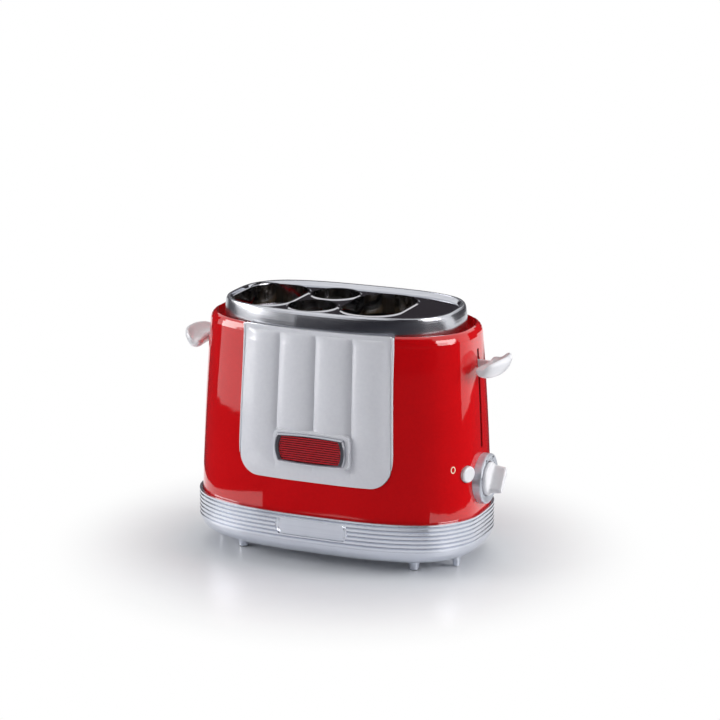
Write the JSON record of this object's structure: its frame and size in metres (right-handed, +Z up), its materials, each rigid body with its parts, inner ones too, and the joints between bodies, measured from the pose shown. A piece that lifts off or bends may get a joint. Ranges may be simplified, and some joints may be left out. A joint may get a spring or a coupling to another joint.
{
  "type": "hot dog toaster",
  "caption": "Retro oval countertop toaster with bun slots and sausage wells, lift levers at both ends, timer dial, stop button and a rear crumb tray.",
  "frame": {"origin": "on the ground plane under the middle of the body", "axes": "+Z up, +X towards the end with the timer dial, -Y towards the front with the fluted panel"},
  "size_m": [0.3112, 0.159, 0.2298],
  "materials": {
    "shell_red": "gloss",
    "panel_white": "gloss",
    "bright_plate": "polished",
    "bezel_chrome": "polished",
    "insert_red": "gloss",
    "base_silver": "satin",
    "plate_silver": "satin",
    "underside_grey": "matte",
    "pad_rubber": "matte",
    "zinc_steel": "satin",
    "reflector_steel": "bright",
    "wire_steel": "bright",
    "mica": "matte",
    "ribbon": "satin",
    "magnet_iron": "matte",
    "copper_coil": "enamelled",
    "control_white": "gloss",
    "timer_black": "matte",
    "board_green": "satin"
  },
  "bodies": {
    "housing": {"badge_bezel": "bezel_chrome", "badge_insert": "insert_red", "base_housing": "base_silver", "board_parts": "timer_black", "bottom_cover": "underside_grey", "bun_guard_left": "wire_steel", "bun_guard_right": "wire_steel", "cage_bridge": "zinc_steel", "chassis_plate": "zinc_steel", "control_board": "board_green", "cord_gland": "pad_rubber", "cover_screws": "zinc_steel", "dial_ring": "base_silver", "end_frame_left": "zinc_steel", "end_frame_right": "zinc_steel", "foot_front_left": "base_silver", "foot_front_right": "base_silver", "foot_pads": "pad_rubber", "foot_rear_left": "base_silver", "foot_rear_right": "base_silver", "front_panel": "panel_white", "guide_rods": "wire_steel", "heater_board_left_inner": "mica", "heater_board_left_outer": "mica", "heater_board_right_inner": "mica", "heater_board_right_outer": "mica", "heater_ribbon_left_inner": "ribbon", "heater_ribbon_left_outer": "ribbon", "heater_ribbon_right_inner": "ribbon", "heater_ribbon_right_outer": "ribbon", "lift_spring_left": "wire_steel", "lift_spring_right": "wire_steel", "magnet_coil": "copper_coil", "magnet_core": "magnet_iron", "name_plate": "plate_silver", "outer_shell": "shell_red", "prop_feet": "base_silver", "reflector_front": "reflector_steel", "reflector_rear": "reflector_steel", "sausage_cage_front": "wire_steel", "sausage_cage_rear": "wire_steel", "slot_collars": "bright_plate", "stop_switch": "timer_black", "timer_body": "timer_black", "timer_bracket": "zinc_steel", "top_plate": "bright_plate"},
    "carriage": {"carriage_bar": "zinc_steel", "carriage_bracket_left": "zinc_steel", "carriage_bracket_right": "zinc_steel", "bun_lift_left": "zinc_steel", "bun_lift_right": "zinc_steel", "sausage_lift": "zinc_steel", "latch_plate": "zinc_steel", "lever_handle_left": "control_white", "lever_handle_right": "control_white"},
    "timer_dial": {"dial_knob": "control_white", "dial_shaft": "wire_steel"},
    "stop_key": {"stop_button": "control_white"},
    "tray": {"crumb_tray": "zinc_steel", "tray_grip": "base_silver"}
  },
  "joints": [
    {"name": "carriage_lift", "type": "slide", "parent": "housing", "child": "carriage", "axis": [0, 0, 1], "range_m": [-0.072, 0.009], "stiffness_N_per_m": 60, "springref_m": 0.0283, "deforming": ["lift_spring_left", "lift_spring_right"]},
    {"name": "dial_turn", "type": "hinge", "parent": "housing", "child": "timer_dial", "pos_m": [0.13, 0, 0.079], "axis": [1, 0, 0], "range_deg": [-135, 135]},
    {"name": "stop_press", "type": "slide", "parent": "housing", "child": "stop_key", "axis": [-0.9135, 0.4067, 0], "range_m": [0, 0.0016], "stiffness_N_per_m": 400, "springref_m": -0.001},
    {"name": "tray_slide", "type": "slide", "parent": "housing", "child": "tray", "axis": [0, 1, 0], "range_m": [0, 0.11]}
  ]
}
